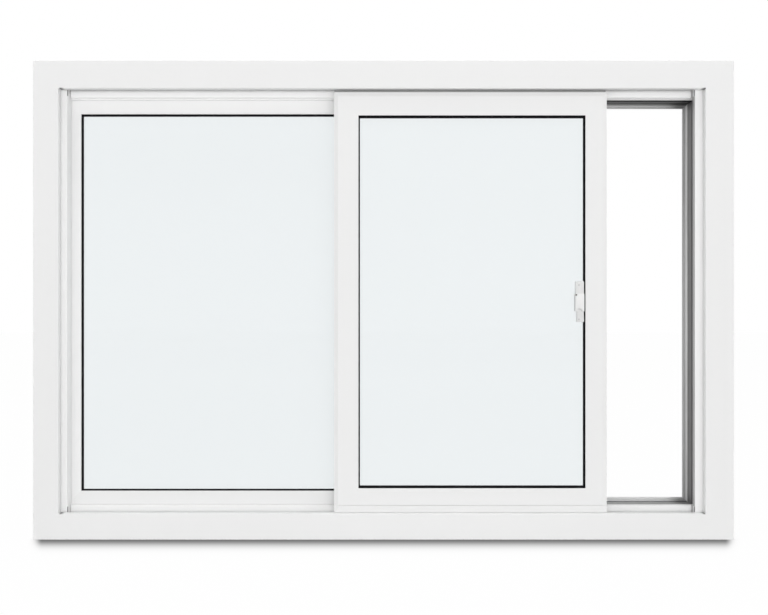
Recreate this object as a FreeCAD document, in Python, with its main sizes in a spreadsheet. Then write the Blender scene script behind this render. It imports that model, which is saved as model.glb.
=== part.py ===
import FreeCAD, Part
import os
import Sketcher

# Horizontal sliding window, in millimetres. Every piece is drawn from the window's lower left front
# corner, with X along the sill, Y into the wall and Z up, and is then placed so that the middle of
# the sill's underside is the origin.

doc = FreeCAD.newDocument("SlidingWindow")
sheet = doc.addObject("Spreadsheet::Sheet", "Sizes")
pieces = []


class Size:
    """A length that knows its number and the expression that ties it to the sheet."""

    def __init__(self, number, text):
        self.number = number
        self.text = text

    def __add__(self, other):
        return Size(self.number + other.number, f"({self.text} + {other.text})")

    def __sub__(self, other):
        return Size(self.number - other.number, f"({self.text} - {other.text})")

    def __truediv__(self, parts):
        return Size(self.number / parts, f"({self.text} / {parts})")


def size(name, number):
    """Writes one driving dimension in the sheet under its own name."""
    size.row += 1
    sheet.set(f"A{size.row}", name)
    sheet.set(f"B{size.row}", str(number))
    sheet.setAlias(f"B{size.row}", name)
    return Size(number, f"Sizes.{name}")


size.row = 0
zero = Size(0, "0")

# The whole window
width = size("width", 1200)
height = size("height", 820)
depth = size("depth", 100)

# White frame: faces seen from the room, the tracks behind them and the fin between the tracks
left_face = size("left_face", 43)
right_face = size("right_face", 49)
head_face = size("head_face", 47.6)
sill_face = size("sill_face", 45)
face_depth = size("face_depth", 12)
track_drop = size("track_drop", 8)
fin_thickness = size("fin_thickness", 3)
outer_round = size("outer_round", 0.8)
inner_round = size("inner_round", 2)
fixing_bore = size("fixing_bore", 5.5)
fixing_inset = size("fixing_inset", 150)

# Clip-in strips on the fin, round the opening
left_lip = size("left_lip", 11.7)
right_lip = size("right_lip", 14.35)
head_lip = size("head_lip", 10.1)
sill_lip = size("sill_lip", 8.9)
strip_thickness = size("strip_thickness", 6)
liner_gap = size("liner_gap", 1.5)
liner_depth = size("liner_depth", 12)
right_fin_set = size("right_fin_set", 4.4)
head_fin_set = size("head_fin_set", 3)
strip_joint = size("strip_joint", 1.2)
strip_round = size("strip_round", 1.5)
strip_corner = size("strip_corner", 2.5)

# Room for the two lights in their tracks
sash_setback = size("sash_setback", 4)
sash_depth = size("sash_depth", 24)
fixed_depth = size("fixed_depth", 28)
run_gap = size("run_gap", 1)
seat_gap = size("seat_gap", 0.4)

# Metal outer frame
outer_left = size("outer_left", 50)
outer_right = size("outer_right", 54)
outer_head = size("outer_head", 57.3)
outer_sill = size("outer_sill", 48.6)
outer_rise = size("outer_rise", 7)
outer_lip = size("outer_lip", 8)
outer_bevel = size("outer_bevel", 1.5)

# Sliding sash, and how far it stands open
sash_width = size("sash_width", 468.3)
sash_open = size("sash_open", 152.8)
close_gap = size("close_gap", 22.8)
head_slot = size("head_slot", 5)
sill_slot = size("sill_slot", 0.4)
sash_left_stile = size("sash_left_stile", 41.9)
sash_right_stile = size("sash_right_stile", 36.8)
sash_top_rail = size("sash_top_rail", 40.2)
sash_bottom_rail = size("sash_bottom_rail", 41.9)
bevel_width = size("bevel_width", 7)
left_bevel = size("left_bevel", 3.5)
right_bevel = size("right_bevel", 2)
foot_bevel = size("foot_bevel", 1.2)
top_bevel = size("top_bevel", 3)
tongue_gap = size("tongue_gap", 4)
tongue_play = size("tongue_play", 2.4)
crease_rise = size("crease_rise", 12.1)
crease_width = size("crease_width", 1.3)
crease_depth = size("crease_depth", 2.2)
roller_radius = size("roller_radius", 8)
roller_width = size("roller_width", 6)
roller_inset = size("roller_inset", 80)
axle_radius = size("axle_radius", 2)
slot_length = size("slot_length", 20)
slot_width = size("slot_width", 8)
slot_roof = size("slot_roof", 19)

# Fixed light
fixed_stile = size("fixed_stile", 36.4)
fixed_top_rail = size("fixed_top_rail", 44.4)
fixed_bottom_rail = size("fixed_bottom_rail", 40)
fixed_fit = size("fixed_fit", 0.5)
fixed_bevel = size("fixed_bevel", 2)

# Glazing in both lights
rebate = size("rebate", 12)
glass_edge = size("glass_edge", 1)
pane = size("pane", 4)
cavity = size("cavity", 8)
spacer_edge = size("spacer_edge", 2)
spacer_width = size("spacer_width", 8)
fixed_left_seal = size("fixed_left_seal", 2.8)
fixed_foot_seal = size("fixed_foot_seal", 2.3)
fixed_seal = size("fixed_seal", 3.2)
sash_left_seal = size("sash_left_seal", 2.4)
sash_right_seal = size("sash_right_seal", 3.4)
sash_foot_seal = size("sash_foot_seal", 4)
sash_top_seal = size("sash_top_seal", 4.2)
gasket_depth = size("gasket_depth", 3)

# Interlocking hooks of the meeting stiles
hook_wall = size("hook_wall", 1.2)
hook_base = size("hook_base", 12)
hook_lip = size("hook_lip", 7)
hook_play = size("hook_play", 0.6)
hook_inset = size("hook_inset", 2)
hook_catch = size("hook_catch", 3.7)
hook_end = size("hook_end", 4)

# Latch beside the sash's right stile
latch_width = size("latch_width", 14.5)
latch_height = size("latch_height", 70.9)
latch_middle = size("latch_middle", 407.4)
latch_offset = size("latch_offset", 3.6)
latch_thickness = size("latch_thickness", 2.4)
latch_round = size("latch_round", 5)
lug_height = size("lug_height", 5)
lug_thickness = size("lug_thickness", 2)
lug_end = size("lug_end", 6)
lever_height = size("lever_height", 26)
lever_overhang = size("lever_overhang", 1.2)
lever_rise = size("lever_rise", 2.4)
lever_slope = size("lever_slope", 1.2)
lever_arch = size("lever_arch", 4)

# Places that follow from the driving dimensions
sash_front = sash_setback
sash_back = sash_front + sash_depth
strip_front = sash_back + run_gap
liner_front = face_depth + liner_gap
liner_back = liner_front + liner_depth
fin_front = strip_front + strip_thickness
fin_back = fin_front + fin_thickness
fixed_front = fin_back + seat_gap
fixed_back = fixed_front + fixed_depth
outer_front = fixed_back + seat_gap
tongue_front = face_depth + tongue_gap
slot_front = (tongue_front + sash_back - slot_width) / 2
unit_depth = pane + cavity + pane
sash_leg = (sash_depth - unit_depth) / 2

left_floor = left_face - track_drop
right_floor = width - right_face + track_drop
sill_floor = sill_face - track_drop
head_floor = height - head_face + track_drop
left_edge = left_face + left_lip
right_edge = width - right_face - right_lip
sill_edge = sill_face + sill_lip
head_edge = height - head_face - head_lip

sash_bottom = sill_face + sill_slot
sash_top = height - head_face - head_slot
closed_left = right_floor - close_gap - sash_width
sash_left = closed_left - sash_open
sash_right = sash_left + sash_width
sash_sight_right = sash_right - sash_right_stile
meeting_right = closed_left + sash_left_stile
fixed_top = head_floor - fixed_fit


def place(piece, across, inward, up):
    """Moves a piece from the window's corner frame to the frame centred under the sill."""
    corner = (across - width / 2, inward - depth / 2, up)
    for axis, distance in zip("xyz", corner):
        piece.setExpression(f"Placement.Base.{axis}", distance.text)


def keep(piece, label):
    """Adds a finished piece to the window under its own name."""
    piece.Label = label
    pieces.append(piece)
    return piece


def new_body(label, across=zero, inward=zero, up=zero):
    body = keep(doc.addObject("PartDesign::Body", label), label)
    place(body, across, inward, up)
    return body


def plane_sketch(body, role, offset=zero):
    """Starts a sketch on one of the body's own origin planes, moved along its normal."""
    sketch = body.newObject("Sketcher::SketchObject", f"{body.Label}_sketch")
    plane = next(item for item in body.Origin.OriginFeatures if item.Role == role)
    sketch.AttachmentSupport = [(plane, "")]
    sketch.MapMode = "FlatFace"
    sketch.setExpression("AttachmentOffset.Base.z", offset.text)
    return sketch


def hold(sketch, kind, line, distance):
    """Ties a line's start to the sketch origin by a distance that follows the sheet."""
    number = sketch.addConstraint(Sketcher.Constraint(kind, -1, 1, line, 1, distance.number))
    sketch.setExpression(f"Constraints[{number}]", distance.text)


def outline(sketch, points):
    """Draws one closed outline of straight lines through the points."""
    first = sketch.GeometryCount
    count = len(points)
    corners = [FreeCAD.Vector(across.number, up.number, 0) for across, up in points]
    for index in range(count):
        sketch.addGeometry(Part.LineSegment(corners[index], corners[(index + 1) % count]))
    for index in range(count):
        following = first + (index + 1) % count
        sketch.addConstraint(Sketcher.Constraint("Coincident", first + index, 2, following, 1))
    for index, (across, up) in enumerate(points):
        hold(sketch, "DistanceX", first + index, across)
        hold(sketch, "DistanceY", first + index, up)


def rectangle(low_across, high_across, low_up, high_up):
    return [(low_across, low_up), (high_across, low_up), (high_across, high_up), (low_across, high_up)]


def pad(body, sketch, length):
    feature = body.newObject("PartDesign::Pad", f"{body.Label}_pad")
    feature.Profile = sketch
    feature.setExpression("Length", length.text)
    return feature


def cut_through(body, sketch):
    feature = body.newObject("PartDesign::Pocket", f"{body.Label}_pocket")
    feature.Profile = sketch
    feature.Type = "ThroughAll"
    return feature


def front_pad(body, outlines, front, back):
    """Pads outlines drawn as seen from the room, from one depth to another."""
    sketch = plane_sketch(body, "XZ_Plane", zero - back)
    for points in outlines:
        outline(sketch, points)
    return pad(body, sketch, back - front)


def mitre(body, cuts):
    """Cuts the waste off a profile's two ends, as seen from the room."""
    sketch = plane_sketch(body, "XZ_Plane")
    for points in cuts:
        outline(sketch, points)
    cut_through(body, sketch)


def rail(label, section, left, right):
    """A level profile: its section is depth by height."""
    body = new_body(label)
    sketch = plane_sketch(body, "YZ_Plane", left)
    outline(sketch, section)
    pad(body, sketch, right - left)
    return body


def post(label, section, bottom, top):
    """An upright profile: its section is distance along the sill by depth."""
    body = new_body(label)
    sketch = plane_sketch(body, "XY_Plane", bottom)
    outline(sketch, section)
    pad(body, sketch, top - bottom)
    return body


def mitred_ring(names, corners, sections):
    """Four profiles round a rectangle. Each mitre runs from the outer corner through a knee to a tip."""
    (left, knee_left, tip_left), (right, knee_right, tip_right) = corners[0], corners[1]
    (low, knee_low, tip_low), (high, knee_high, tip_high) = corners[2], corners[3]
    low_left = [(left, low), (knee_left, knee_low), (tip_left, tip_low)]
    low_right = [(right, low), (knee_right, knee_low), (tip_right, tip_low)]
    high_left = [(left, high), (knee_left, knee_high), (tip_left, tip_high)]
    high_right = [(right, high), (knee_right, knee_high), (tip_right, tip_high)]
    left_post = post(names[0], sections[0], low, high)
    mitre(left_post, [low_left + [(tip_left, low)], high_left + [(tip_left, high)]])
    right_post = post(names[1], sections[1], low, high)
    mitre(right_post, [low_right + [(tip_right, low)], high_right + [(tip_right, high)]])
    bottom_rail = rail(names[2], sections[2], left, right)
    mitre(bottom_rail, [low_left + [(left, tip_low)], low_right + [(right, tip_low)]])
    top_rail = rail(names[3], sections[3], left, right)
    mitre(top_rail, [high_left + [(left, tip_high)], high_right + [(right, tip_high)]])
    return left_post, right_post, bottom_rail, top_rail


def swapped(section):
    """Turns a section drawn as depth by distance into distance by depth."""
    return [(across, inward) for inward, across in section]


def round_edges(body, radius, chosen):
    """Rounds the edges of the body's last feature that the test picks."""
    doc.recompute()
    base = body.Tip
    edges = base.Shape.Edges
    names = [f"Edge{index + 1}" for index, edge in enumerate(edges) if chosen(edge)]
    feature = body.newObject("PartDesign::Fillet", f"{body.Label}_fillet")
    feature.Base = (base, names)
    feature.setExpression("Radius", radius.text)


def lies_at(**place_of_edge):
    """A test for straight edges whose ends all lie at the given x, y or z."""
    def chosen(edge):
        ends = [vertex.Point for vertex in edge.Vertexes]
        for axis, distance in place_of_edge.items():
            if any(abs(getattr(end, axis) - distance.number) > 0.001 for end in ends):
                return False
        return len(ends) == 2
    return chosen


def runs_inward(edge):
    """A test for straight edges that run from the room into the wall."""
    start, end = edge.Vertexes[0].Point, edge.Vertexes[-1].Point
    return (start - end).cross(FreeCAD.Vector(0, 1, 0)).Length < 0.001


# White frame

def frame_section(outer, floor, face, fin):
    """A box under the tracks, with the face in front of them and a fin between them."""
    return [
        (zero, outer), (outer_front, outer), (outer_front, floor),
        (fin_back, floor), (fin_back, fin), (fin_front, fin), (fin_front, floor),
        (face_depth, floor), (face_depth, face), (zero, face),
    ]


def frame():
    left = (zero, left_floor, left_face, left_edge)
    right = (width, right_floor, width - right_face, right_edge + right_fin_set)
    low = (zero, sill_floor, sill_face, sill_edge)
    high = (height, head_floor, height - head_face, head_edge - head_fin_set)
    corners = [(outer, floor, fin) for outer, floor, _, fin in (left, right, low, high)]
    sections = [
        swapped(frame_section(*left)), swapped(frame_section(*right)),
        frame_section(*low), frame_section(*high),
    ]
    names = ["frame_left_jamb", "frame_right_jamb", "frame_sill", "frame_head"]
    left_jamb, right_jamb, sill, head = mitred_ring(names, corners, sections)
    for jamb, (outer, _, face, _) in ((left_jamb, left), (right_jamb, right)):
        fixing_holes(jamb)
        round_edges(jamb, outer_round, lies_at(x=outer, y=zero))
        round_edges(jamb, inner_round, lies_at(x=face, y=zero))
    for beam, (outer, _, face, _) in ((sill, low), (head, high)):
        round_edges(beam, outer_round, lies_at(z=outer, y=zero))
        round_edges(beam, inner_round, lies_at(z=face, y=zero))


def fixing_holes(jamb):
    """Two screw holes through the jamb, in the floor of the front track."""
    sketch = plane_sketch(jamb, "YZ_Plane", width)
    middle = (liner_back + fin_front) / 2
    for up in (fixing_inset, height - fixing_inset):
        centre = FreeCAD.Vector(middle.number, up.number, 0)
        circle = sketch.addGeometry(Part.Circle(centre, FreeCAD.Vector(0, 0, 1), fixing_bore.number / 2))
        for kind, distance in (("DistanceX", middle), ("DistanceY", up)):
            number = sketch.addConstraint(Sketcher.Constraint(kind, -1, 1, circle, 3, distance.number))
            sketch.setExpression(f"Constraints[{number}]", distance.text)
        number = sketch.addConstraint(Sketcher.Constraint("Diameter", circle, fixing_bore.number))
        sketch.setExpression(f"Constraints[{number}]", fixing_bore.text)
    cut_through(jamb, sketch)


# Clip-in strips

def strips():
    """Bars that stand on the track floor. All but the right one lie against the front of the fin."""
    left = swapped(rectangle(liner_front, fin_front, left_floor, left_edge))
    right = swapped(rectangle(liner_front, liner_back, right_floor, right_edge))
    left_liner = post("left_jamb_liner", left, sill_floor, head_floor)
    right_liner = post("right_jamb_liner", right, sill_floor, head_floor)
    start = left_edge + strip_joint
    end = right_edge - strip_joint
    high = rectangle(strip_front, fin_front, head_floor, head_edge)
    low = rectangle(strip_front, fin_front, sill_floor, sill_edge)
    head_strip = rail("head_guide_strip", high, start, end)
    sill_strip = rail("sill_running_strip", low, start, end)
    round_edges(left_liner, strip_round, lies_at(x=left_edge, y=liner_front))
    round_edges(right_liner, strip_round, lies_at(x=right_edge, y=liner_front))
    for x in (start, end):
        round_edges(head_strip, strip_corner, lies_at(x=x, z=head_edge))
    round_edges(sill_strip, strip_round, lies_at(z=sill_edge, y=strip_front))


# Metal outer frame

def outer_section(outer, base, tip, bevel):
    """A plain reveal behind the rear track and a bevelled lip on the weather side."""
    lip_front = depth - outer_lip
    return [
        (outer_front, outer), (depth, outer), (depth, tip), (lip_front + outer_bevel, tip),
        (lip_front, bevel), (lip_front, base), (outer_front, base),
    ]


def outer_frame():
    left = [zero, outer_left, outer_left + outer_rise, outer_left + outer_rise - outer_bevel]
    low = [zero, outer_sill, outer_sill + outer_rise, outer_sill + outer_rise - outer_bevel]
    right_tip = width - outer_right - outer_rise
    right = [width, width - outer_right, right_tip, right_tip + outer_bevel]
    high_tip = height - outer_head - outer_rise
    high = [height, height - outer_head, high_tip, high_tip + outer_bevel]
    corners = [(side[0], side[1], side[2]) for side in (left, right, low, high)]
    sections = [
        swapped(outer_section(*left)), swapped(outer_section(*right)),
        outer_section(*low), outer_section(*high),
    ]
    names = ["outer_left_jamb", "outer_right_jamb", "outer_sill", "outer_head"]
    mitred_ring(names, corners, sections)


# Glazed lights

def light_section(front, back, outer, bevel, drop, tongue, bed, inner):
    """A bevelled stile or rail with a glazing rebate. A tongue runs in the track behind the face."""
    leg = (back - front - unit_depth) / 2
    edge = [(back, outer)]
    if tongue is not None:
        edge = [(tongue_front, outer), (tongue_front, tongue), (back, tongue)]
    return [
        (front + drop, outer), *edge, (back, inner), (back - leg, inner), (back - leg, bed),
        (front + leg, bed), (front + leg, inner), (front, inner), (front, bevel),
    ]


def ring(label, outside, inside, front, back):
    """A flat frame between two rectangles, each given as left, right, low and high."""
    body = new_body(label)
    front_pad(body, [rectangle(*outside), rectangle(*inside)], front, back)


def glass(label, sides, front):
    left, right, low, high = sides
    sheet_of_glass = keep(doc.addObject("Part::Box", label), label)
    sheet_of_glass.setExpression("Length", (right - left).text)
    sheet_of_glass.setExpression("Width", pane.text)
    sheet_of_glass.setExpression("Height", (high - low).text)
    place(sheet_of_glass, left, front, low)


def drawn_in(sides, *distances):
    """The same rectangle, smaller by one distance all round or by one for each side."""
    to_left, to_right, to_low, to_high = distances * 4 if len(distances) == 1 else distances
    left, right, low, high = sides
    return left + to_left, right - to_right, low + to_low, high - to_high


def glazed_light(name, names, outside, sight, front, back, tongues, drops, seals):
    """Four mitred profiles round a sealed unit of two panes, a spacer and two gaskets."""
    bevels = drawn_in(outside, bevel_width)
    beds = drawn_in(sight, zero - rebate)
    corners = list(zip(outside, beds, sight))
    sections = []
    for side in range(4):
        lines = (outside[side], bevels[side], drops[side], tongues[side], beds[side], sight[side])
        sections.append(light_section(front, back, *lines))
    sections[0] = swapped(sections[0])
    sections[1] = swapped(sections[1])
    profiles = mitred_ring(names, corners, sections)
    glass_front = front + (back - front - unit_depth) / 2
    glass_back = glass_front + unit_depth
    edges = drawn_in(sight, glass_edge - rebate)
    glass(f"{name}_inner_pane", edges, glass_front)
    glass(f"{name}_outer_pane", edges, glass_back - pane)
    bar_outside = drawn_in(edges, spacer_edge)
    bar_inside = drawn_in(bar_outside, spacer_width)
    ring(f"{name}_spacer", bar_outside, bar_inside, glass_front + pane, glass_back - pane)
    seal = drawn_in(sight, *seals)
    ring(f"{name}_inner_gasket", sight, seal, glass_front - gasket_depth, glass_front)
    ring(f"{name}_outer_gasket", sight, seal, glass_back, glass_back + gasket_depth)
    return profiles


def fixed_light():
    outside = (left_floor, meeting_right, sill_floor, fixed_top)
    sight = drawn_in(outside, fixed_stile, sash_left_stile, fixed_bottom_rail, fixed_top_rail)
    names = ["fixed_left_stile", "fixed_meeting_stile", "fixed_bottom_rail", "fixed_top_rail"]
    seals = (fixed_left_seal, fixed_seal, fixed_foot_seal, fixed_seal)
    drops = [fixed_bevel] * 4
    glazed_light("fixed", names, outside, sight, fixed_front, fixed_back, [None] * 4, drops, seals)


def sliding_sash():
    outside = (sash_left, sash_right, sash_bottom, sash_top)
    sight = drawn_in(outside, sash_left_stile, sash_right_stile, sash_bottom_rail, sash_top_rail)
    tongues = [None, None, sill_floor + tongue_play, head_floor - tongue_play]
    names = ["sash_left_stile", "sash_right_stile", "sash_bottom_rail", "sash_top_rail"]
    drops = (left_bevel, right_bevel, foot_bevel, top_bevel)
    seals = (sash_left_seal, sash_right_seal, sash_foot_seal, sash_top_seal)
    profiles = glazed_light(
        "sash", names, outside, sight, sash_front, sash_back, tongues, drops, seals,
    )
    left_stile, right_stile, bottom_rail, _ = profiles
    for profile in (left_stile, right_stile, bottom_rail):
        crease(profile)
    for label, across in (
        ("left_roller", sash_left + roller_inset), ("right_roller", sash_right - roller_inset),
    ):
        roller_slot(bottom_rail, across)
        roller(label, across)


def crease(profile):
    """A shallow groove along the foot of the sash's face."""
    low = sash_bottom + crease_rise
    sketch = plane_sketch(profile, "XZ_Plane", zero - sash_front)
    outline(sketch, rectangle(sash_left, sash_right, low, low + crease_width))
    groove = profile.newObject("PartDesign::Pocket", f"{profile.Label}_crease")
    groove.Profile = sketch
    groove.setExpression("Length", crease_depth.text)


# What the sash runs on and hooks into

def roller_slot(bottom_rail, across):
    """A slot in the tongue of the bottom rail, open underneath."""
    left = across - slot_length / 2
    sketch = plane_sketch(bottom_rail, "XY_Plane", sill_floor + slot_roof)
    outline(sketch, rectangle(left, left + slot_length, slot_front, slot_front + slot_width))
    cut_through(bottom_rail, sketch)


def roller(label, across):
    """A wheel on a short axle, turned about its own Y axis, that runs on the track floor."""
    body = new_body(label, across, slot_front, sill_floor + roller_radius)
    sketch = plane_sketch(body, "XY_Plane")
    near = (slot_width - roller_width) / 2
    far = near + roller_width
    outline(sketch, [
        (zero, zero), (axle_radius, zero), (axle_radius, near), (roller_radius, near),
        (roller_radius, far), (axle_radius, far), (axle_radius, slot_width), (zero, slot_width),
    ])
    turned = body.newObject("PartDesign::Revolution", f"{label}_revolution")
    turned.Profile = sketch
    turned.ReferenceAxis = (sketch, ["V_Axis"])
    turned.Angle = 360


def interlocks():
    """Two hooks on the meeting stiles, which catch each other when the sash is closed."""
    bottom = sill_edge + hook_end
    top = head_edge - hook_end
    reach = (fixed_front - sash_back + hook_wall + hook_wall + hook_play) / 2
    web = sash_left + hook_inset
    far = sash_back + reach
    sash_hook = [
        (web, sash_back), (web + hook_base, sash_back), (web + hook_base, sash_back + hook_wall),
        (web + hook_wall, sash_back + hook_wall), (web + hook_wall, far - hook_wall),
        (web + hook_lip, far - hook_wall), (web + hook_lip, far), (web, far),
    ]
    post("sash_interlock", sash_hook, bottom, top)
    tip = closed_left + hook_inset + hook_lip - hook_catch
    web = tip + hook_lip
    near = fixed_front - reach
    fixed_hook = [
        (tip, near), (web + hook_wall, near), (web + hook_wall, fixed_front - hook_wall),
        (web + hook_base, fixed_front - hook_wall), (web + hook_base, fixed_front),
        (web, fixed_front), (web, near + hook_wall), (tip, near + hook_wall),
    ]
    post("fixed_interlock", fixed_hook, bottom, top)


# Latch

def latch():
    """A plate over the edge of the glass, held to the stile by two lugs, and its thumb lever."""
    right = sash_sight_right - latch_offset
    left = right - latch_width
    low = latch_middle - latch_height / 2
    high = latch_middle + latch_height / 2
    back = sash_front + sash_leg - gasket_depth
    front = back - latch_thickness
    base = new_body("latch_base")
    front_pad(base, [rectangle(left, right, low, high)], front, back)
    round_edges(base, latch_round, runs_inward)
    lugs = []
    for lug_low in (low + lug_end, high - lug_end - lug_height):
        lugs.append(rectangle(right - latch_offset, sash_sight_right, lug_low, lug_low + lug_height))
    front_pad(base, lugs, back - lug_thickness, back)

    lever = new_body("latch_lever")
    lever_left = left - lever_overhang
    lever_low = latch_middle - lever_height / 2
    lever_high = latch_middle + lever_height / 2
    crown = front - lever_rise
    sketch = plane_sketch(lever, "YZ_Plane", lever_left)
    outline(sketch, [
        (front, lever_high), (crown + lever_slope, lever_high), (crown, latch_middle),
        (crown, lever_low), (front, lever_low),
    ])
    pad(lever, sketch, right - lever_left)
    arch = plane_sketch(lever, "XZ_Plane")
    outline(arch, [
        (lever_left + lever_arch, lever_low), (right - lever_arch, lever_low),
        ((lever_left + right) / 2, lever_low + lever_arch),
    ])
    cut_through(lever, arch)


def check(document):
    """Stops if any object failed, any piece is not one valid solid, or any pocket cut nothing."""
    for item in document.Objects:
        if "Invalid" in item.State or "Error" in item.State:
            raise RuntimeError(f"{item.Label} failed: {item.State}")
        if item.TypeId == "PartDesign::Pocket":
            if item.Shape.Volume > item.BaseFeature.Shape.Volume - 1:
                raise RuntimeError(f"{item.Label} cuts nothing")
    for piece in pieces:
        if piece.Shape.isNull() or not piece.Shape.isValid():
            raise RuntimeError(f"{piece.Label} has no valid shape")
        if len(piece.Shape.Solids) != 1:
            raise RuntimeError(f"{piece.Label} has {len(piece.Shape.Solids)} solids")


frame()
strips()
outer_frame()
fixed_light()
sliding_sash()
interlocks()
latch()
doc.recompute()
check(doc)

os.makedirs("parts", exist_ok=True)
for piece in pieces:
    piece.Shape.exportStep(f"parts/{piece.Label}.step")
    print(f"{piece.Label}: {piece.Shape.Volume / 1000:.1f} cm3")
print(f"{len(pieces)} pieces")
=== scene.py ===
# %% [markdown]
# # A sliding window in white plastic and grey metal
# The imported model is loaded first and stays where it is. Every node of it sits at the origin with its
# place in its mesh, in metres, so whatever is added goes straight to its real place. The box of the bare
# model is kept, because the dressed window may not outgrow it.

# %% Load the window
import math

import bpy
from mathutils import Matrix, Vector


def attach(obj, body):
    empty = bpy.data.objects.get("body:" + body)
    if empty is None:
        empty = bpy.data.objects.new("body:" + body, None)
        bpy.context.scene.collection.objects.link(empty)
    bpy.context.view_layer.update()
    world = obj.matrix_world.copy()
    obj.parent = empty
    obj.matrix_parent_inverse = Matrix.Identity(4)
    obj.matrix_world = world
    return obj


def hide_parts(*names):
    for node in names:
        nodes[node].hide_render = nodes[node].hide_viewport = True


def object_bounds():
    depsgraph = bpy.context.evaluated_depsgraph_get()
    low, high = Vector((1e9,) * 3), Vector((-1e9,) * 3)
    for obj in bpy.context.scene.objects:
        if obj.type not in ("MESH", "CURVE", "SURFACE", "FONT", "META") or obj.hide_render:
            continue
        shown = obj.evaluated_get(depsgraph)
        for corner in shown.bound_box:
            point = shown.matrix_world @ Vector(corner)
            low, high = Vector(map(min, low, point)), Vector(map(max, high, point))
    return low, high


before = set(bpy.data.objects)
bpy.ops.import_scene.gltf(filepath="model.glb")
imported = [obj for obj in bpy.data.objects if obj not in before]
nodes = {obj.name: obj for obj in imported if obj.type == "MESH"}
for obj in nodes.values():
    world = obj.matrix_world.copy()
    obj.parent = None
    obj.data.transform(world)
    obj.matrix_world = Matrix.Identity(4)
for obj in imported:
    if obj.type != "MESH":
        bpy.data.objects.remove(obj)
cad_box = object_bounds()
print("loaded", len(nodes), "nodes")

# %% [markdown]
# ## The view
# The photograph looks straight at the window from the room side. A level camera keeps the uprights
# upright, and a short distance shows the inside of the opening on the right narrowing with depth. So the
# camera stands in front of the middle of the picture, square to the window, with no tilt and no shift.

# %% Camera
MM = 0.001
CAMERA_X = 0.86 * MM
CAMERA_Y = -1876.0 * MM
CAMERA_Z = 397.5 * MM
LENS = 50.0
SENSOR_WIDTH = 36.0
CLIP_END = 60.0
LEVEL_TILT = math.radians(90)

bpy.ops.object.select_all(action="DESELECT")
bpy.ops.object.camera_add(location=(CAMERA_X, CAMERA_Y, CAMERA_Z), rotation=(LEVEL_TILT, 0, 0))
camera = bpy.context.object
camera.data.lens = LENS
camera.data.sensor_width = SENSOR_WIDTH
camera.data.clip_end = CLIP_END
scene = bpy.context.scene
scene.camera = camera
scene.view_settings.view_transform = "Standard"
print("camera", tuple(round(value, 4) for value in camera.location))

# %% [markdown]
# ## Writing finishes as sums
# A finish is a web of nodes, and long webs are hard to read as code. One small class wraps a node's
# output. Adding, taking away, multiplying or dividing two of them makes the Math node that does it, and
# any other node comes from one method that sets the node up and wires its sockets.

# %% A wrapped socket
class Wire:
    def __init__(self, tree, socket=None):
        self.tree = tree
        self.socket = socket

    def node(self, kind, settings=None, sockets=None, output=0):
        made = self.tree.nodes.new(kind)
        for name, value in (settings or {}).items():
            setattr(made, name, value)
        for name, value in (sockets or {}).items():
            if isinstance(value, Wire):
                self.tree.links.new(value.socket, made.inputs[name])
            else:
                made.inputs[name].default_value = value
        return Wire(self.tree, made.outputs[output] if made.outputs else None)

    def sum(self, operation, first, second=0.0):
        return self.node("ShaderNodeMath", {"operation": operation}, {0: first, 1: second})

    def __add__(self, other):
        return self.sum("ADD", self, other)

    def __radd__(self, other):
        return self.sum("ADD", other, self)

    def __sub__(self, other):
        return self.sum("SUBTRACT", self, other)

    def __rsub__(self, other):
        return self.sum("SUBTRACT", other, self)

    def __mul__(self, other):
        return self.sum("MULTIPLY", self, other)

    def __rmul__(self, other):
        return self.sum("MULTIPLY", other, self)

    def __truediv__(self, other):
        return self.sum("DIVIDE", self, other)


print("shader sums ready")

# %% [markdown]
# A few steps come back in every finish, so each is a short function: an empty material, a mix of two
# colours, a place along one axis of the window, noise that is stretched along a bar, and a soft step between
# two places. A pair of places says where a step starts and where it is complete. The Mix node has several
# sockets of each name, so its colour sockets are picked by number.

# %% Steps of a finish
BLACK = (0, 0, 0, 1)
WHITE = (1, 1, 1, 1)
MIX_SHARE = 0
MIX_FIRST = 6
MIX_SECOND = 7
MIX_COLOUR = 2


def grey(level):
    return (level, level, level, 1)


def blank_material(name):
    material = bpy.data.materials.new(name)
    material.use_nodes = True
    material.node_tree.nodes.clear()
    return material, Wire(material.node_tree)


def mixed(wire, share, first, second):
    sockets = {MIX_SHARE: share, MIX_FIRST: first, MIX_SECOND: second}
    return wire.node("ShaderNodeMix", {"data_type": "RGBA"}, sockets, MIX_COLOUR)


def object_place(wire):
    return wire.node("ShaderNodeTexCoord", output="Object")


def along_axis(wire, axis):
    return wire.node("ShaderNodeSeparateXYZ", {}, {"Vector": object_place(wire)}, axis)


def stretched_noise(wire, stretch, detail=4.0, roughness=0.55):
    placed = wire.node("ShaderNodeMapping", {}, {"Vector": object_place(wire), "Scale": stretch})
    sockets = {"Vector": placed, "Scale": 1.0, "Detail": detail, "Roughness": roughness}
    return wire.node("ShaderNodeTexNoise", {}, sockets)


def stepped(wire, value, ends):
    start, end = ends
    sockets = {"Value": value, "From Min": start, "From Max": end}
    return wire.node("ShaderNodeMapRange", {"interpolation_type": "SMOOTHSTEP"}, sockets)


def show(wire, surface):
    wire.node("ShaderNodeOutputMaterial", {}, {"Surface": surface})


print("steps of a finish ready")

# %% [markdown]
# ## The studio
# A product shot on white has a broad soft light behind the camera, another high above, and a fill from all
# round that is a little stronger on the right. The light from above falls into the sill's track and comes
# back up from the pale floor to the underside of the head, so no joint is left black. The floor and the sky
# beyond it are white to the eye, to glass and to metal, so the open gap and the panes show the same white.
# The floor has a soft shadow painted into its colour, darker towards the foot of the window, as where two
# surfaces meet and little light gets in.

# %% Sky
SKY_BASE = 0.27
SKY_RING = 1.75
RING_HEIGHT = 0.22
SIDE_BIAS = 0.3
SEEN_RAYS = ("Is Camera Ray", "Is Glossy Ray", "Is Transmission Ray")


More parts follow.
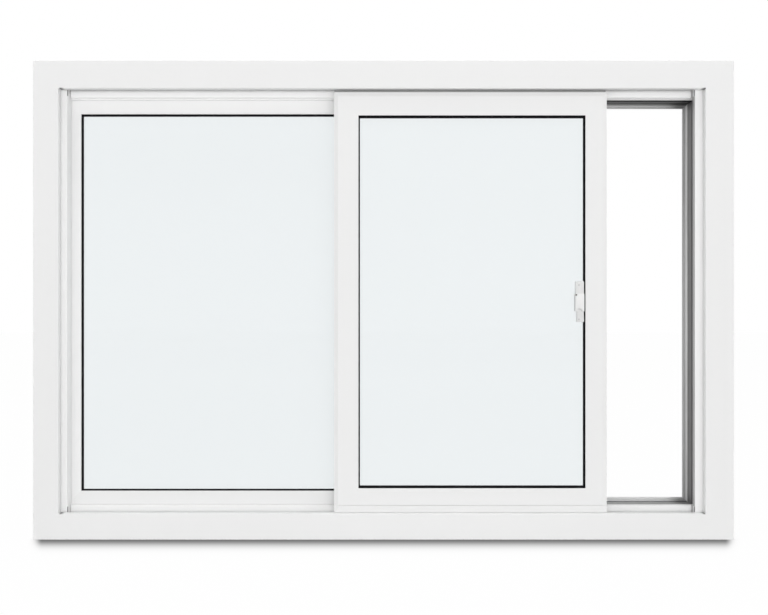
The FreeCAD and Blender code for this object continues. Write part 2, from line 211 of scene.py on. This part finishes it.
def seen_directly(wire):
    camera_ray, glossy_ray, glass_ray = [wire.node("ShaderNodeLightPath", output=kind) for kind in SEEN_RAYS]
    return wire.sum("MAXIMUM", wire.sum("MAXIMUM", camera_ray, glossy_ray), glass_ray)


world = bpy.data.worlds.new("white_studio")
scene.world = world
world.use_nodes = True
world.node_tree.nodes.clear()
sky = Wire(world.node_tree)
direction = sky.node("ShaderNodeTexCoord", output="Generated")
height = sky.node("ShaderNodeSeparateXYZ", {}, {"Vector": direction}, "Z") / RING_HEIGHT
side = 1.0 + SIDE_BIAS * sky.node("ShaderNodeSeparateXYZ", {}, {"Vector": direction}, "X")
level = SKY_BASE + SKY_RING * side * sky.sum("EXPONENT", height * height * -1.0)
fill = sky.node("ShaderNodeBackground", {}, {"Color": WHITE, "Strength": level})
white = sky.node("ShaderNodeBackground", {}, {"Color": WHITE, "Strength": 1.0})
both = sky.node("ShaderNodeMixShader", {}, {0: seen_directly(sky), 1: fill, 2: white})
sky.node("ShaderNodeOutputWorld", {}, {"Surface": both})
print("sky set")


# %% Lamps
def soft_lamp(name, place, aim, width, height, power):
    bpy.ops.object.select_all(action="DESELECT")
    bpy.ops.object.light_add(type="AREA", location=place)
    lamp = bpy.context.object
    lamp.name = name
    lamp.data.shape = "RECTANGLE"
    lamp.data.size = width
    lamp.data.size_y = height
    lamp.data.energy = power
    lamp.rotation_euler = (Vector(aim) - Vector(place)).to_track_quat("-Z", "Y").to_euler()
    lamp.visible_glossy = False


soft_lamp("front_softbox", place=(0.15, -4.6, 0.45), aim=(0.0, 0.0, 0.42), width=5.5, height=1.2, power=80.0)
soft_lamp("top_softbox", place=(0.0, -0.5, 5.0), aim=(0.0, 0.0, 0.0), width=3.5, height=1.6, power=120.0)
print("lamps placed")

# %% Floor
FLOOR_SIZE = 30.0
FOOT_X = cad_box[1][0] - 15.0 * MM
FOOT_Y = cad_box[1][1]
SIDE_SPREAD = 7.5 * MM
FRONT_SPREAD = 34.3 * MM
SHADE_DEPTH = 0.82
NARROWING = 0.35
FLOOR_WHITENESS = 0.988
FLOOR_BOUNCE = 0.7

bpy.ops.object.select_all(action="DESELECT")
bpy.ops.mesh.primitive_plane_add(size=FLOOR_SIZE, location=(0, 0, 0))
floor = bpy.context.object
floor.name = "studio_floor"
material, wire = blank_material("floor_white")
# Painted shadow: the floor's colour darkens softly towards the window's foot, tight at the sides and wider in
# front.
past_y = wire.sum("MAXIMUM", wire.sum("ABSOLUTE", along_axis(wire, "Y")) - FOOT_Y, 0.0)
past_x = wire.sum("MAXIMUM", wire.sum("ABSOLUTE", along_axis(wire, "X")) - FOOT_X + past_y * NARROWING, 0.0)
away = past_x * past_x / (-2.0 * SIDE_SPREAD ** 2) + past_y * past_y / (-2.0 * FRONT_SPREAD ** 2)
shade = 1.0 - SHADE_DEPTH * wire.sum("EXPONENT", away)
matt = wire.node("ShaderNodeBsdfDiffuse", {}, {"Color": grey(FLOOR_BOUNCE)})
glow = wire.node("ShaderNodeEmission", {}, {"Color": mixed(wire, shade, BLACK, WHITE), "Strength": 1.0})
seen = seen_directly(wire) * FLOOR_WHITENESS
show(wire, wire.node("ShaderNodeMixShader", {}, {0: seen, 1: matt, 2: glow}))
floor.data.materials.append(material)
print("floor laid")

# %% [markdown]
# ## White plastic
# The frame, the fixed light and the sash are extruded white plastic with a satin skin. The die leaves
# streaks along each bar that only show in the gloss, so the noise is stretched along the bar, one way for
# level bars and another for uprights. The colour wavers by about two hundredths, because a bar is never one
# flat white, and the gloss by a little more.

# %% White plastic finish
LEVEL = (1.5, 60.0, 240.0)
UPRIGHT = (240.0, 60.0, 1.5)
CLOUDS = (3.0, 3.0, 3.0)
GRAIN = (900.0, 900.0, 900.0)
WARMTH = 0.002
DARKEST = 0.975
STREAK_SHARE = 0.4
STREAK_HEIGHT = 0.5
ROUGHNESS = 0.42
ROUGHNESS_SPREAD = 0.12


def white_plastic(name, stretch, tone, shaded=None):
    colour = (tone, tone, tone - WARMTH)
    material, wire = blank_material(name)
    streaks = stretched_noise(wire, stretch)
    clouds = stretched_noise(wire, CLOUDS, detail=2.0)
    grain = stretched_noise(wire, GRAIN, detail=2.0)
    darker = tuple(value * DARKEST for value in colour)
    waver = streaks * STREAK_SHARE + clouds * (1.0 - STREAK_SHARE)
    skin = mixed(wire, waver, darker + (1,), colour + (1,))
    if shaded:
        skin = shaded(wire, skin)
    relief = grain + streaks * STREAK_HEIGHT
    bump = wire.node("ShaderNodeBump", {}, {"Strength": 0.06, "Distance": 0.4 * MM, "Height": relief})
    sockets = {
        "Base Color": skin, "Roughness": ROUGHNESS - ROUGHNESS_SPREAD / 2 + streaks * ROUGHNESS_SPREAD,
        "Normal": bump, "Specular IOR Level": 0.35,
    }
    show(wire, wire.node("ShaderNodeBsdfPrincipled", {}, sockets))
    return material


def dress(material, *bars):
    for bar in bars:
        mesh = nodes[bar].data
        mesh.materials.clear()
        mesh.materials.append(material)


print("white plastic ready")

# %% [markdown]
# Some bars have shade painted into their white. The head's strip and the sash's top rail are painted grey
# where they go up into the track, as the shade there, the head's fin where it stands in the open gap, and the
# right liner on its edge there. Where a liner meets the level strips, a dark line of painted shade runs along
# its edge, and a dab of painted shade sits at each inner corner of the frame. These places are counted from
# the edges of the pieces.

# %% Edges of the pieces
def node_box(name):
    places = [vertex.co for vertex in nodes[name].data.vertices]
    low = [min(place[axis] for place in places) for axis in range(3)]
    high = [max(place[axis] for place in places) for axis in range(3)]
    return Vector(low), Vector(high)


HEAD_STRIP_LOW = node_box("head_guide_strip")[0].z
SILL_STRIP_HIGH = node_box("sill_running_strip")[1].z
SASH_RIGHT = node_box("sash_right_stile")[1].x
TONGUE_LOW = node_box("sash_right_stile")[1].z
LEFT_LINER_EDGE = node_box("left_jamb_liner")[1].x
RIGHT_LINER_EDGE = node_box("right_jamb_liner")[0].x
LINER_FACE = node_box("right_jamb_liner")[0].y
print("gap between strips", round((HEAD_STRIP_LOW - SILL_STRIP_HIGH) / MM, 1), "mm")

# %% Shades on white bars
# Greys of painted shade: near black in the joints and at the inner corners, mid grey on the head's fin in the
# gap.
JOINT_SHADE_GREY = grey(0.1)
FIN_SHADE_GREY = grey(0.66)
FIN = (HEAD_STRIP_LOW, HEAD_STRIP_LOW - 1.0 * MM)
GAP = (SASH_RIGHT - 80.0 * MM, SASH_RIGHT - 3.0 * MM)
HEAD_CORNER = (774.5 * MM, 773.0 * MM)
SILL_CORNER = (42.8 * MM, 44.6 * MM)
JOINT_MIDDLE = -1.5 * MM
JOINT_RISE = (544.0 * MM, 552.5 * MM)
JOINT_FALL = (555.0 * MM, 552.0 * MM)
HEAD_JOINT = (HEAD_STRIP_LOW - 0.3 * MM, HEAD_STRIP_LOW + 1.7 * MM)
SILL_JOINT = (SILL_STRIP_HIGH + 0.6 * MM, SILL_STRIP_HIGH - 1.4 * MM)
SEALANT_DEPTH = (LINER_FACE + 6.0 * MM, LINER_FACE + 4.0 * MM)


# Paints a bar grey above a height, as painted shade where it goes up into the track.
def shade_painted_above(ends, level):
    def shaded(wire, skin):
        return mixed(wire, stepped(wire, along_axis(wire, "Z"), ends), skin, grey(level))
    return shaded


# Paints a dab of shade at each inner corner of the frame.
def painted_corner_shade(ends):
    def shaded(wire, skin):
        sideways = wire.sum("ABSOLUTE", along_axis(wire, "X") - JOINT_MIDDLE)
        at_corner = stepped(wire, sideways, JOINT_RISE) * stepped(wire, sideways, JOINT_FALL)
        return mixed(wire, at_corner * stepped(wire, along_axis(wire, "Z"), ends), skin, JOINT_SHADE_GREY)
    return shaded


# On the head: painted shade on the fin where it stands in the open gap, and the painted corner shade.
def head_shades(wire, skin):
    fin_shade = stepped(wire, along_axis(wire, "Z"), FIN) * stepped(wire, along_axis(wire, "X"), GAP)
    return painted_corner_shade(HEAD_CORNER)(wire, mixed(wire, fin_shade, skin, FIN_SHADE_GREY))


# Paints shade on a liner's edge: grey beside the open gap, and a dark line of painted shade where it meets
# the level strips.
def liner_edge(ends, level):
    def shaded(wire, skin):
        up = along_axis(wire, "Z")
        on_edge = stepped(wire, along_axis(wire, "X"), ends)
        at_strip = wire.sum("MAXIMUM", stepped(wire, up, HEAD_JOINT), stepped(wire, up, SILL_JOINT))
        near_face = stepped(wire, along_axis(wire, "Y"), SEALANT_DEPTH)
        skin = mixed(wire, on_edge * (1.0 - at_strip), skin, grey(level))
        return mixed(wire, on_edge * at_strip * near_face, skin, JOINT_SHADE_GREY)
    return shaded


print("shades ready")

# %% [markdown]
# The fixed light's uprights and top rail, which stand deeper, and the clip-in strips are painted a brighter
# white than the other bars, as painted light against the shade they stand in, so each group gets its own
# tone.

# %% White bars
# The brighter whites below are painted light for bars that stand in shade.
FRAME_WHITE = 0.86
FIXED_LIT_WHITE = 0.885
HEAD_STRIP_LIT_WHITE = 0.94
SILL_STRIP_LIT_WHITE = 0.9
LEFT_LINER_LIT_WHITE = 0.868
RIGHT_LINER_LIT_WHITE = 0.91
LINER_EDGE_SHADE_GREY = 0.42
TONGUE_SHADE_GREY = 0.4
STRIP_TOP_SHADE_GREY = 0.36
TONGUE_SHADE_SPAN = (TONGUE_LOW + 1.2 * MM, TONGUE_LOW + 2.2 * MM)
STRIP_SHADE_SPAN = (HEAD_STRIP_LOW + 11.5 * MM, HEAD_STRIP_LOW + 14.3 * MM)
LEFT_EDGE_SPAN = (LEFT_LINER_EDGE - 0.4 * MM, LEFT_LINER_EDGE - 0.1 * MM)
RIGHT_EDGE_SPAN = (RIGHT_LINER_EDGE + 0.55 * MM, RIGHT_LINER_EDGE + 0.15 * MM)

tongue_shade = shade_painted_above(TONGUE_SHADE_SPAN, TONGUE_SHADE_GREY)
strip_top_shade = shade_painted_above(STRIP_SHADE_SPAN, STRIP_TOP_SHADE_GREY)
left_edge = liner_edge(LEFT_EDGE_SPAN, LEFT_LINER_LIT_WHITE)
right_edge = liner_edge(RIGHT_EDGE_SPAN, LINER_EDGE_SHADE_GREY)

dress(white_plastic("white_level_bar", LEVEL, FRAME_WHITE), "sash_bottom_rail", "fixed_bottom_rail")
dress(white_plastic("white_upright_bar", UPRIGHT, FRAME_WHITE), "frame_left_jamb", "frame_right_jamb",
      "sash_left_stile", "sash_right_stile", "sash_interlock", "fixed_interlock")
dress(white_plastic("white_head_bar", LEVEL, FRAME_WHITE, head_shades), "frame_head")
dress(white_plastic("white_sill_bar", LEVEL, FRAME_WHITE, painted_corner_shade(SILL_CORNER)), "frame_sill")
dress(white_plastic("white_sash_top", LEVEL, FRAME_WHITE, tongue_shade), "sash_top_rail")
dress(white_plastic("white_fixed_top", LEVEL, FIXED_LIT_WHITE), "fixed_top_rail")
dress(white_plastic("white_fixed_upright_bar", UPRIGHT, FIXED_LIT_WHITE),
      "fixed_left_stile", "fixed_meeting_stile")
dress(white_plastic("white_head_strip", LEVEL, HEAD_STRIP_LIT_WHITE, strip_top_shade), "head_guide_strip")
dress(white_plastic("white_sill_strip", LEVEL, SILL_STRIP_LIT_WHITE), "sill_running_strip")
dress(white_plastic("white_left_liner", UPRIGHT, LEFT_LINER_LIT_WHITE, left_edge), "left_jamb_liner")
dress(white_plastic("white_right_liner", UPRIGHT, RIGHT_LINER_LIT_WHITE, right_edge), "right_jamb_liner")
print("white bars dressed")

# %% [markdown]
# ## Grey metal
# The outer frame is drawn metal with an even grey coat. Where it shows in the open gap, the light and shade
# of the room are painted into its colour: a dark channel beside the glazing, darkest under the head and
# palest on the sill, and a brighter lip at the back, with a painted highlight line along it or a line of
# painted shade at its foot. The gap's side is told from the rest by its distance from the lip's tip, and the
# lip from the channel by its depth. Towards its ends, in the corners, each bar is painted darker, as shade.
# Long bands of light and dark waver along each bar, so their noise is stretched that way.

# %% Grey metal finish
LIP = (38.5 * MM, 41.8 * MM)
BACK = (48.8 * MM, 49.6 * MM)
GAP_SIDE = (8.5 * MM, 11.5 * MM)
PLAIN_TONE = 0.3
COAT_METAL = 0.12
HAIRLINE_FINENESS = 9.0
BAND_SHARE = 0.85
NOISE_MIDDLE = 0.5
GAP_WAVER = 1.5
PLAIN_WAVER = 0.25
METAL_ROUGHNESS = 0.34
METAL_ROUGHNESS_SPREAD = 0.2


def grey_metal(name, bar, tip, channel, lip, line, line_place, line_width, shine=0.0):
    material, wire = blank_material(name)
    finer = tuple(value * HAIRLINE_FINENESS for value in bar["stretch"])
    bands = stretched_noise(wire, bar["stretch"], detail=3.0, roughness=0.6)
    hairlines = stretched_noise(wire, finer, detail=2.0)
    depth = along_axis(wire, "Y")
    from_tip = wire.sum("ABSOLUTE", wire.sum("ABSOLUTE", along_axis(wire, bar["across"])) - tip)
    on_lip = stepped(wire, depth, LIP)
    plain = wire.sum("MAXIMUM", stepped(wire, depth, BACK), stepped(wire, from_tip, GAP_SIDE))
    past_line = (from_tip - line_place) / line_width
    # The lip gets a painted highlight line, or a line of painted shade where line is below zero, and the
    # corners get painted shade.
    lip_tone = lip + line * wire.sum("EXPONENT", past_line * past_line * -1.0)
    in_corner = stepped(wire, wire.sum("ABSOLUTE", along_axis(wire, bar["along"])), bar["corner"])
    gap_tone = (channel + on_lip * (lip_tone - channel)) * (1.0 - in_corner * bar["darkening"])
    light = bands * BAND_SHARE + hairlines * (1.0 - BAND_SHARE) - NOISE_MIDDLE
    waver = light * (GAP_WAVER - plain * (GAP_WAVER - PLAIN_WAVER)) + 1.0
    tone = (gap_tone + plain * (PLAIN_TONE - gap_tone)) * waver
    metallic = COAT_METAL
    if shine:
        metallic = COAT_METAL + on_lip * (1.0 - plain) * shine
    bump = wire.node("ShaderNodeBump", {}, {"Strength": 0.1, "Distance": 0.2 * MM, "Height": hairlines})
    sockets = {
        "Base Color": mixed(wire, tone, BLACK, WHITE), "Metallic": metallic,
        "Roughness": METAL_ROUGHNESS + hairlines * METAL_ROUGHNESS_SPREAD, "Normal": bump,
        "Specular IOR Level": 0.25,
    }
    show(wire, wire.node("ShaderNodeBsdfPrincipled", {}, sockets))
    return material


print("grey metal ready")

# %% Metal bars
LEVEL_BAR = {
    "stretch": (2.2, 90.0, 110.0), "along": "X", "across": "Z",
    "corner": (507.0 * MM, 534.0 * MM), "darkening": 0.5,
}
UPRIGHT_BAR = {
    "stretch": (110.0, 90.0, 2.2), "along": "Z", "across": "X",
    "corner": (752.0 * MM, 768.0 * MM), "darkening": 0.3,
}
HEAD_TIP = node_box("outer_head")[0].z
SILL_TIP = node_box("outer_sill")[1].z
JAMB_TIP = node_box("outer_right_jamb")[0].x

# Channel and lip tones are painted light and shade: the head's channel dark, the sill's pale.
head_metal = grey_metal("grey_head_bar", LEVEL_BAR, HEAD_TIP, channel=0.02, lip=0.41,
                        line=0.59, line_place=3.2 * MM, line_width=1.8 * MM, shine=0.68)
sill_metal = grey_metal("grey_sill_bar", LEVEL_BAR, SILL_TIP, channel=0.46, lip=0.95,
                        line=-0.88, line_place=7.1 * MM, line_width=1.0 * MM)
upright_metal = grey_metal("grey_upright_bar", UPRIGHT_BAR, JAMB_TIP, channel=0.19, lip=0.42,
                           line=0.58, line_place=5.3 * MM, line_width=2.2 * MM)
dress(head_metal, "outer_head")
dress(sill_metal, "outer_sill")
dress(upright_metal, "outer_left_jamb", "outer_right_jamb")
print("metal dressed")

# %% [markdown]
# ## Glass, spacers and gaskets
# Each light has two panes held apart by a metal spacer bar, and a black rubber gasket on either side. In
# the photograph the panes are an even pale blue green with nothing to be seen through them and no shadow on
# them, as coated glass that mirrors a bright room is. So each pane mostly mirrors, lets only a little
# through, and has a very slight ripple.

# %% Glass finish
PANE = (0.888, 0.922, 0.934)
PANE_DARKEST = 0.993
PANE_COVER = 0.96
PANE_MIRROR = 0.82
PANE_RIPPLE = (4.0, 4.0, 2.5)
PANE_ROUGHNESS = 0.05
PANE_ROUGHNESS_SPREAD = 0.02


def pane_glass():
    material, wire = blank_material("pale_pane")
    ripple = stretched_noise(wire, PANE_RIPPLE, detail=1.0)
    tint = mixed(wire, ripple, tuple(value * PANE_DARKEST for value in PANE) + (1,), PANE + (1,))
    bump = wire.node("ShaderNodeBump", {}, {"Strength": 0.02, "Distance": 0.5 * MM, "Height": ripple})
    sockets = {
        "Base Color": tint, "Metallic": PANE_MIRROR, "Alpha": PANE_COVER,
        "Roughness": PANE_ROUGHNESS + ripple * PANE_ROUGHNESS_SPREAD, "Normal": bump,
        "Specular IOR Level": 0.2,
    }
    show(wire, wire.node("ShaderNodeBsdfPrincipled", {}, sockets))
    return material


glass = pane_glass()
print("glass ready")

# %% [markdown]
# The small pieces share one plain finish: a light and a dark tone mixed by a fine grain, which also roughens
# the skin a little.

# %% Plain finishes
GRAIN_SPREAD = 0.2


def plain_finish(name, light, dark, scale, roughness, metallic=0.0, gloss=0.5):
    material, wire = blank_material(name)
    grain = stretched_noise(wire, (scale, scale, scale), detail=3.0)
    bump = wire.node("ShaderNodeBump", {}, {"Strength": 0.15, "Distance": 0.2 * MM, "Height": grain})
    sockets = {
        "Base Color": mixed(wire, grain, dark + (1,), light + (1,)), "Metallic": metallic,
        "Roughness": roughness - GRAIN_SPREAD / 2 + grain * GRAIN_SPREAD, "Normal": bump,
        "Specular IOR Level": gloss,
    }
    show(wire, wire.node("ShaderNodeBsdfPrincipled", {}, sockets))
    return material


rubber = plain_finish("black_rubber", light=(0.012, 0.012, 0.013), dark=(0.004, 0.004, 0.005),
                      scale=500.0, roughness=0.8, gloss=0.08)
mill = plain_finish("mill_spacer", light=(0.6, 0.6, 0.6), dark=(0.48, 0.48, 0.48),
                    scale=300.0, roughness=0.4, metallic=0.9)
nylon = plain_finish("roller_nylon", light=(0.72, 0.72, 0.69), dark=(0.64, 0.64, 0.61),
                     scale=250.0, roughness=0.5)
for window_light in ("fixed_", "sash_"):
    dress(glass, window_light + "inner_pane", window_light + "outer_pane")
    dress(rubber, window_light + "inner_gasket", window_light + "outer_gasket")
    dress(mill, window_light + "spacer")
dress(nylon, "left_roller", "right_roller")
print("glass, rubber, spacers and rollers dressed")

# %% [markdown]
# ## Making pieces
# Small moulded pieces start as a box or a cylinder and are shaped in edit mode. Lengths are in millimetres
# and depths are counted from the room side, as on a drawing. A few short functions do the common steps. Two
# of them make a box between two corners and a round peg.

# %% Boxes and pegs
HALF_DEPTH = 50.0


def corner(across, inward, up):
    return Vector((across, inward - HALF_DEPTH, up)) * MM


def block(name, low, high):
    bpy.ops.object.select_all(action="DESELECT")
    bpy.ops.mesh.primitive_cube_add(size=1.0, location=(0, 0, 0))
    piece = bpy.context.object
    piece.name = name
    bpy.ops.object.mode_set(mode="EDIT")
    bpy.ops.mesh.select_all(action="SELECT")
    bpy.ops.transform.resize(value=corner(*high) - corner(*low))
    bpy.ops.transform.translate(value=(corner(*high) + corner(*low)) / 2)
    bpy.ops.object.mode_set(mode="OBJECT")
    return piece


def peg(name, across, up, radius, front, back, sides=32):
    bpy.ops.object.select_all(action="DESELECT")
    bpy.ops.mesh.primitive_cylinder_add(vertices=sides, radius=radius * MM, depth=(back - front) * MM)
    piece = bpy.context.object
    piece.name = name
    bpy.ops.object.mode_set(mode="EDIT")
    bpy.ops.mesh.select_all(action="SELECT")
    bpy.ops.transform.rotate(value=math.radians(90), orient_axis="X", center_override=(0, 0, 0))
    bpy.ops.transform.translate(value=corner(across, (front + back) / 2, up))
    bpy.ops.object.mode_set(mode="OBJECT")
    return piece


print("boxes and pegs ready")

# %% [markdown]
# The others pick corners by where they are, to a fifth of a millimetre, push them, cut a piece across, carve
# it with another piece and round its edges. The last one hands a piece over with its finish and its smooth
# shading.

# %% Shaping and handing over
TOUCH = 0.2
SMOOTH_ANGLE = math.radians(40)


def pick(piece, chosen):
    bpy.ops.object.mode_set(mode="EDIT")
    bpy.ops.mesh.select_mode(type="VERT")
    bpy.ops.mesh.select_all(action="DESELECT")
    bpy.ops.object.mode_set(mode="OBJECT")
    for vertex in piece.data.vertices:
        vertex.select = chosen(vertex.co / MM + Vector((0, HALF_DEPTH, 0)))
    bpy.ops.object.mode_set(mode="EDIT")


def between(value, low, high):
    return low - TOUCH < value < high + TOUCH


def push(piece, chosen, across, inward):
    pick(piece, chosen)
    bpy.ops.transform.translate(value=(across * MM, inward * MM, 0))
    bpy.ops.object.mode_set(mode="OBJECT")


def slice_at(piece, place, normal):
    pick(piece, lambda spot: True)
    bpy.ops.mesh.bisect(plane_co=place, plane_no=normal)
    bpy.ops.object.mode_set(mode="OBJECT")


def activate(piece):
    bpy.ops.object.select_all(action="DESELECT")
    piece.select_set(True)
    bpy.context.view_layer.objects.active = piece


def carve(piece, cutter):
    activate(piece)
    cut = piece.modifiers.new("carve", "BOOLEAN")
    cut.operation = "DIFFERENCE"
    cut.object = cutter
    bpy.ops.object.modifier_apply(modifier=cut.name)
    activate(cutter)
    bpy.ops.object.delete()


def soften(piece, width, segments=3, angle=35.0):
    activate(piece)
    edge = piece.modifiers.new("soften", "BEVEL")
    edge.width = width * MM
    edge.segments = segments
    edge.limit_method = "ANGLE"
    edge.angle_limit = math.radians(angle)
    bpy.ops.object.modifier_apply(modifier=edge.name)


def hand_over(piece, slot, material, *replaced):
    activate(piece)
    bpy.ops.object.mode_set(mode="EDIT")
    bpy.ops.mesh.select_all(action="SELECT")
    bpy.ops.mesh.normals_make_consistent(inside=False)
    bpy.ops.object.mode_set(mode="OBJECT")
    bpy.ops.object.shade_smooth_by_angle(angle=SMOOTH_ANGLE)
    piece.data.materials.append(material)
    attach(piece, "root")
    for node in replaced:
        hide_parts(node)


print("piece helpers ready")

# %% [markdown]
# ## The latch
# A moulded plate stands on the glass beside the sash's right stile and laps over the gasket. On the real
# latch the plate is one moulding with a bevel down its glass side. It bulges behind the lever, and below the
# lever it is narrower, where its face sinks under the lever's foot and rises again to the lower screw. So a
# box is cut across at each change and its corners are pushed to their places. The back is then drawn out to
# the glass, and the edges are rounded.

# %% Latch plate
PLATE_LEFT = 329.7
PLATE_RIGHT = 343.7
PLATE_FRONT = 2.6
PLATE_BACK = 5.0
PLATE_LOW = 372.6
PLATE_HIGH = 442.4
BEVEL_RIGHT = 333.4
LAP_LEFT = 341.6
SCREW_PAD_TOP = 378.5
NARROW_TOP = 391.0
BULGE_LOW = 392.5
SUNK_TOP = 398.0
BULGE_HIGH = 420.5
WIDE_LOW = 422.0
BEVEL_DROP = 2.0
SUNK_DROP = 1.9
NARROW_INSET = 1.8
BULGE_WIDTH = 0.9
GLASS_REACH = 3.0
PLATE_ROUNDING = 0.4


def on_plate_left(spot):
    return spot.x < PLATE_LEFT + TOUCH


def on_plate_front(spot):
    return spot.y < PLATE_FRONT + TOUCH


plate = block("latch_plate", (PLATE_LEFT, PLATE_FRONT, PLATE_LOW), (PLATE_RIGHT, PLATE_BACK, PLATE_HIGH))
for up in (SCREW_PAD_TOP, NARROW_TOP, BULGE_LOW, SUNK_TOP, BULGE_HIGH, WIDE_LOW):
    slice_at(plate, corner(0, 0, up), (0, 0, 1))
for across in (BEVEL_RIGHT, LAP_LEFT):
    slice_at(plate, corner(across, 0, 0), (1, 0, 0))
push(plate, lambda spot: on_plate_left(spot) and on_plate_front(spot), 0, BEVEL_DROP)
push(plate, lambda spot: on_plate_front(spot) and between(spot.z, NARROW_TOP, SUNK_TOP), 0, SUNK_DROP)
push(plate, lambda spot: on_plate_left(spot) and spot.z < NARROW_TOP + TOUCH, NARROW_INSET, 0)
push(plate, lambda spot: on_plate_left(spot) and between(spot.z, BULGE_LOW, BULGE_HIGH), -BULGE_WIDTH, 0)
pick(plate, lambda spot: spot.y > PLATE_BACK - TOUCH and spot.x < LAP_LEFT + TOUCH)
bpy.ops.mesh.extrude_region_move(TRANSFORM_OT_translate={"value": (0, GLASS_REACH * MM, 0)})
bpy.ops.object.mode_set(mode="OBJECT")
soften(plate, PLATE_ROUNDING)
plate_white = plain_finish("plate_white", light=(0.775, 0.775, 0.772), dark=(0.735, 0.735, 0.732),
                           scale=350.0, roughness=0.45)
hand_over(plate, "white_latch", plate_white, "latch_base")
print("latch plate", len(plate.data.polygons), "faces")

# %% [markdown]
# The thumb lever is a second moulding that stands proud of the plate and bulges past it on the glass side.
# It slopes down to the plate at its top and has an arch cut from its foot, so that a thumb can push it. A
# dark pin at its upper corner is the pivot. The box gets the slope and the bevel by pushing corners back,
# and the arch and the pin's hole are carved with pegs.

# %% Latch lever
LEVER_LEFT = 328.9
LEVER_RIGHT = 344.1
LEVER_FRONT = 0.2
LEVER_LOW = 391.0
LEVER_HIGH = 421.3
LEVER_BEVEL = 1.7
LEVER_SLOPE = 0.7
LEVER_ROUNDING = 0.3
ARCH_X = 335.3
ARCH_RADIUS = 4.9
PIN_X = 330.5
PIN_Z = 419.1
HOLE_RADIUS = 1.45
CUT_FRONT = -2.0
CUT_BACK = 4.0


def on_lever_front(spot):
    return spot.y < LEVER_FRONT + TOUCH


lever = block("latch_thumb", (LEVER_LEFT, LEVER_FRONT, LEVER_LOW), (LEVER_RIGHT, PLATE_FRONT, LEVER_HIGH))
slice_at(lever, corner(BEVEL_RIGHT, 0, 0), (1, 0, 0))
push(lever, lambda spot: on_lever_front(spot) and spot.x < LEVER_LEFT + TOUCH, 0, LEVER_BEVEL)
push(lever, lambda spot: on_lever_front(spot) and spot.z > LEVER_HIGH - TOUCH, 0, LEVER_SLOPE)
carve(lever, peg("arch_cutter", ARCH_X, LEVER_LOW, ARCH_RADIUS, CUT_FRONT, CUT_BACK, sides=40))
carve(lever, peg("hole_cutter", PIN_X, PIN_Z, HOLE_RADIUS, CUT_FRONT, CUT_BACK, sides=24))
soften(lever, LEVER_ROUNDING, segments=2)
lever_white = plain_finish("lever_white", light=(0.855, 0.855, 0.851), dark=(0.825, 0.825, 0.821),
                           scale=350.0, roughness=0.45)
hand_over(lever, "white_latch", lever_white, "latch_lever")
print("latch lever", len(lever.data.polygons), "faces")

# %% Latch pin
PIN_RADIUS = 1.4
PIN_FRONT = 1.9
PIN_BACK = 4.0
PIN_ROUNDING = 0.15

pin = peg("latch_pin", PIN_X, PIN_Z, PIN_RADIUS, PIN_FRONT, PIN_BACK, sides=24)
soften(pin, PIN_ROUNDING, segments=2)
pin_steel = plain_finish("pin_steel", light=(0.05, 0.05, 0.05), dark=(0.03, 0.03, 0.03),
                         scale=400.0, roughness=0.5, gloss=0.2)
hand_over(pin, "spacer_bar", pin_steel)
print("latch pin", len(pin.data.polygons), "faces")

# %% [markdown]
# Two small countersunk screws hold the plate, one at each end. Each is a peg with a cross carved in its
# head, painted a little darker than the plate.

# %% Latch screws
SCREW_X = 335.2
SCREW_HEIGHTS = {"latch_screw_top": 436.0, "latch_screw_foot": 377.0}
SCREW_RADIUS = 1.5
SCREW_FRONT = 2.35
SCREW_BACK = 3.4
SCREW_ROUNDING = 0.12
CROSS_REACH = 0.95
CROSS_HALF_WIDTH = 0.22
CROSS_FRONT = 1.5
CROSS_FLOOR = 2.9


def cross_arm(name, up, sideways, upward):
    low = (SCREW_X - sideways, CROSS_FRONT, up - upward)
    high = (SCREW_X + sideways, CROSS_FLOOR, up + upward)
    return block(name, low, high)


painted = plain_finish("painted_screw", light=(0.58, 0.58, 0.58), dark=(0.48, 0.48, 0.48),
                       scale=400.0, roughness=0.4)
for name, up in SCREW_HEIGHTS.items():
    screw = peg(name, SCREW_X, up, SCREW_RADIUS, SCREW_FRONT, SCREW_BACK, sides=28)
    soften(screw, SCREW_ROUNDING, segments=2)
    carve(screw, cross_arm("level_cutter", up, CROSS_REACH, CROSS_HALF_WIDTH))
    carve(screw, cross_arm("upright_cutter", up, CROSS_HALF_WIDTH, CROSS_REACH))
    hand_over(screw, "white_latch", painted)
print("latch screws placed")

# %% End
print("script finished")
